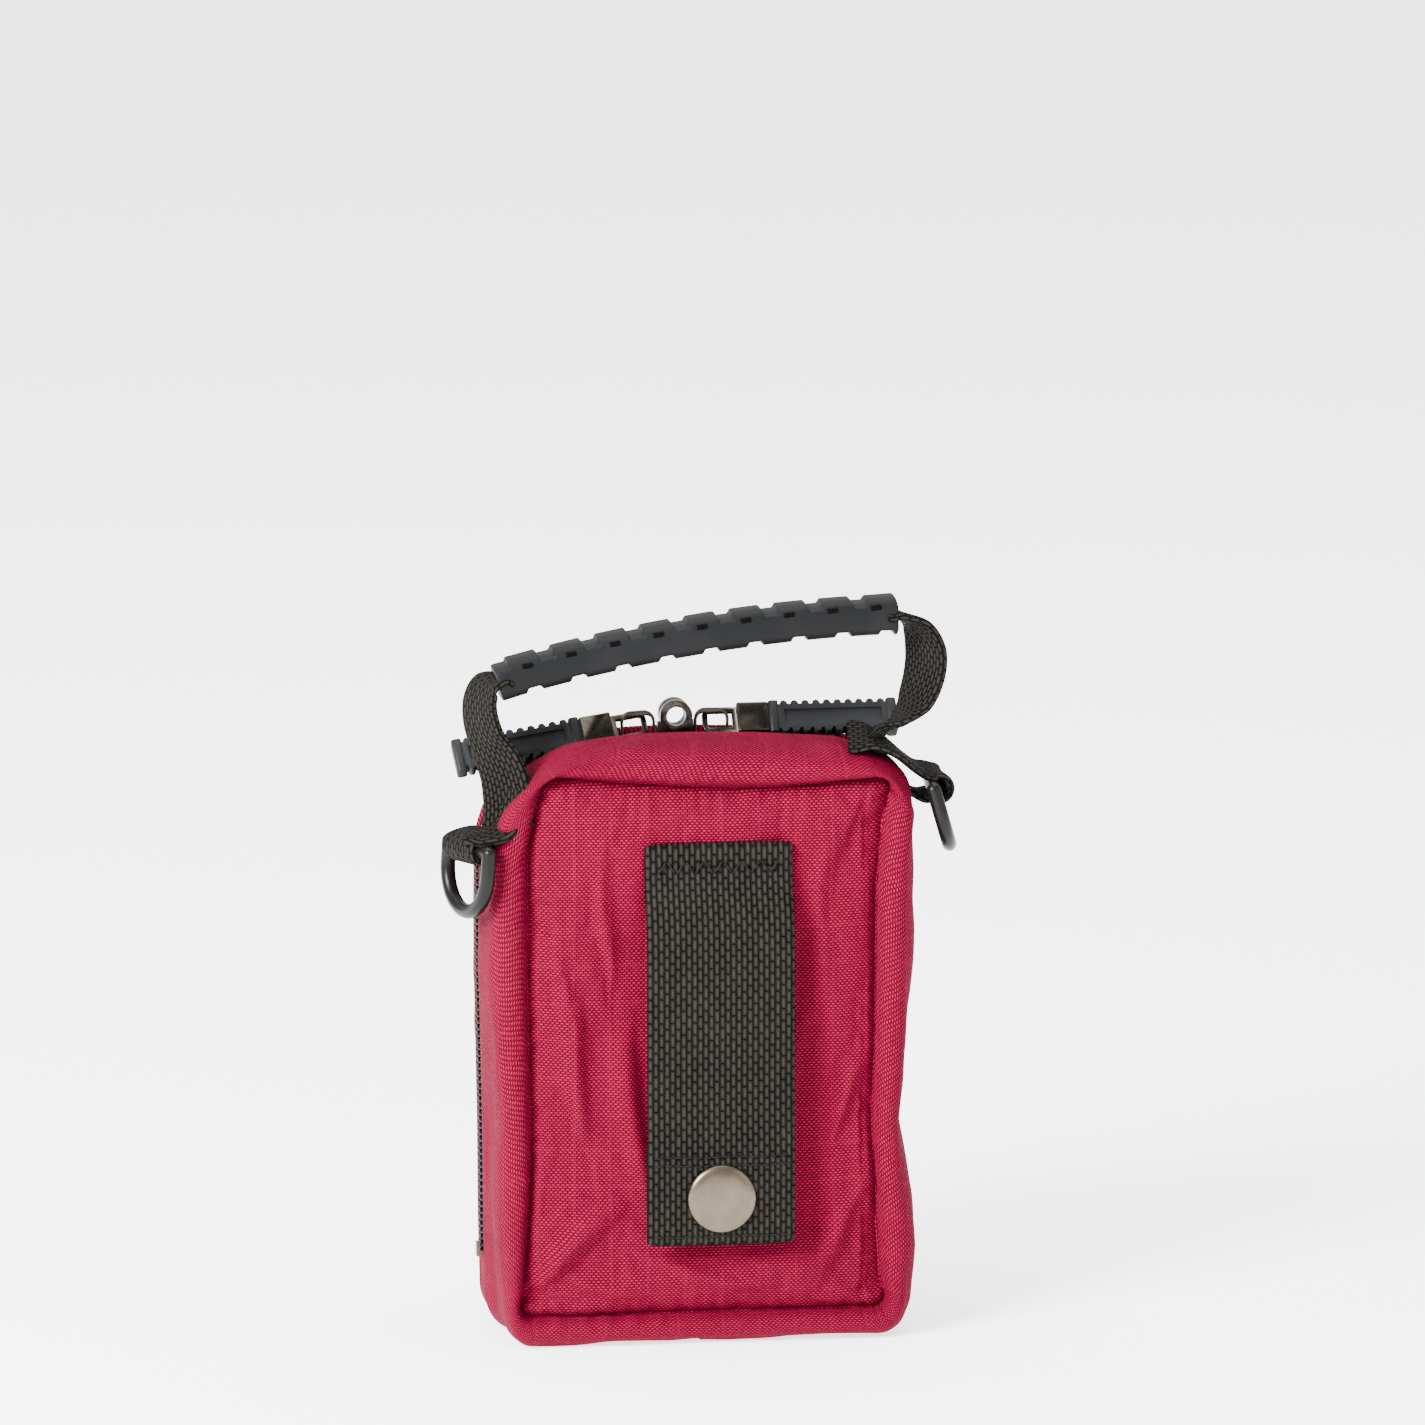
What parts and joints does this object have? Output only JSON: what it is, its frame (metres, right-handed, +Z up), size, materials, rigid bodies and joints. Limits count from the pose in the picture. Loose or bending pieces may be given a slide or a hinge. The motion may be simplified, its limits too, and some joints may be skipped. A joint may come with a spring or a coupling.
{
  "type": "first aid kit pouch",
  "caption": "Upright zipped soft pouch with a carry handle, paired lockable sliders, D-rings and a snap-down belt loop; opens forward on first aid supplies.",
  "frame": {"origin": "centre of the base, on the surface the pouch stands on", "axes": "+Z up, +Y towards the opening front, -Y towards the belt loop, +X to the right when looking at the belt loop"},
  "size_m": [0.1123, 0.0584, 0.1598],
  "materials": {
    "ripstop_red": "matte ripstop weave",
    "zip_black": "matte woven tape",
    "coil_black": "satin moulded coil",
    "gunmetal": "gunmetal plated die casting",
    "pull_rubber": "matte moulded rubber",
    "grip_rubber": "matte moulded rubber",
    "webbing_black": "matte woven webbing",
    "nickel": "satin nickel",
    "ring_black": "semi-gloss black",
    "binding_black": "matte tape and elastic",
    "mesh_black": "open mesh",
    "patch_white": "matte sewn patch",
    "gauze_white": "woven cotton",
    "paper_white": "coated paper sachet",
    "tape_cloth": "cloth tape",
    "spool_plastic": "moulded plastic",
    "steel": "polished steel"
  },
  "bodies": {
    "pouch": {"back_panel": "ripstop_red", "back_gusset": "ripstop_red", "base_gusset": "ripstop_red", "zip_tape_back": "zip_black", "zip_coil_back": "coil_black", "zip_stops": "coil_black", "seam_binding_back": "binding_black", "belt_loop_tab": "webbing_black", "snap_stud": "nickel", "snap_washer": "nickel", "webbing_tab_left": "webbing_black", "webbing_tab_right": "webbing_black", "elastic_band": "binding_black", "bandage_roll_large": "gauze_white", "bandage_roll_small": "gauze_white", "tape_roll": "tape_cloth", "tape_spool": "spool_plastic", "plaster_packet": "paper_white", "gauze_packet": "paper_white"},
    "lid": {"front_panel": "ripstop_red", "front_gusset": "ripstop_red", "zip_tape_front": "zip_black", "zip_coil_front": "coil_black", "seam_binding_front": "binding_black", "cross_patch": "patch_white", "mesh_pocket": "mesh_black", "pocket_hem": "binding_black", "tool_loops": "binding_black", "wipes_packet": "paper_white", "scissors_blade_fixed": "steel", "scissors_pivot": "steel", "tweezers": "steel"},
    "scissors_half": {"scissors_blade_moving": "steel"},
    "belt_loop": {"belt_loop_strap": "webbing_black", "snap_cap": "nickel", "snap_socket": "nickel"},
    "handle": {"handle_webbing": "webbing_black", "handle_grip": "grip_rubber"},
    "ring_left": {"d_ring_left": "ring_black"},
    "ring_right": {"d_ring_right": "ring_black"},
    "slider_left_body": {"slider_left": "gunmetal"},
    "slider_right_body": {"slider_right": "gunmetal"},
    "pull_left": {"pull_left_frame": "gunmetal", "pull_left_rubber": "pull_rubber"},
    "pull_right": {"pull_right_frame": "gunmetal", "pull_right_rubber": "pull_rubber"}
  },
  "joints": [
    {"name": "lid_hinge", "type": "hinge", "parent": "pouch", "child": "lid", "pos_m": [0, 0.025, 0.0084], "axis": [-1, 0, 0], "range_deg": [0, 93]},
    {"name": "belt_loop_hinge", "type": "hinge", "parent": "pouch", "child": "belt_loop", "pos_m": [0.0029, -0.0278, 0.102], "axis": [-1, 0, 0], "range_deg": [0, 150]},
    {"name": "handle_swing", "type": "hinge", "parent": "pouch", "child": "handle", "pos_m": [0.0015, -0.013, 0.131], "axis": [-1, 0, 0], "range_deg": [-88, 8]},
    {"name": "d_ring_left_swing", "type": "hinge", "parent": "pouch", "child": "ring_left", "pos_m": [-0.0499, -0.01865, 0.1095], "axis": [-0.3584, 0.9336, 0], "range_deg": [0, 110]},
    {"name": "d_ring_right_swing", "type": "hinge", "parent": "pouch", "child": "ring_right", "pos_m": [0.0514, -0.013, 0.12], "axis": [-0.1045, -0.9945, 0], "range_deg": [0, 110]},
    {"name": "slider_left_run", "type": "hinge", "parent": "pouch", "child": "slider_left_body", "pos_m": [0, 0, -0.0236], "axis": [0, -1, 0], "range_deg": [0, 5]},
    {"name": "slider_right_run", "type": "hinge", "parent": "pouch", "child": "slider_right_body", "pos_m": [0, 0, -0.0236], "axis": [0, 1, 0], "range_deg": [0, 9]},
    {"name": "pull_left_swing", "type": "hinge", "parent": "slider_left_body", "child": "pull_left", "pos_m": [-0.00955, 0, 0.13211], "axis": [0, 1, 0], "range_deg": [0, 95]},
    {"name": "pull_right_swing", "type": "hinge", "parent": "slider_right_body", "child": "pull_right", "pos_m": [0.00373, 0, 0.13236], "axis": [0, -1, 0], "range_deg": [0, 85]},
    {"name": "scissors_open", "type": "hinge", "parent": "lid", "child": "scissors_half", "pos_m": [-0.001, 0.0134, 0.072], "axis": [0, 1, 0], "range_deg": [0, 30]}
  ]
}
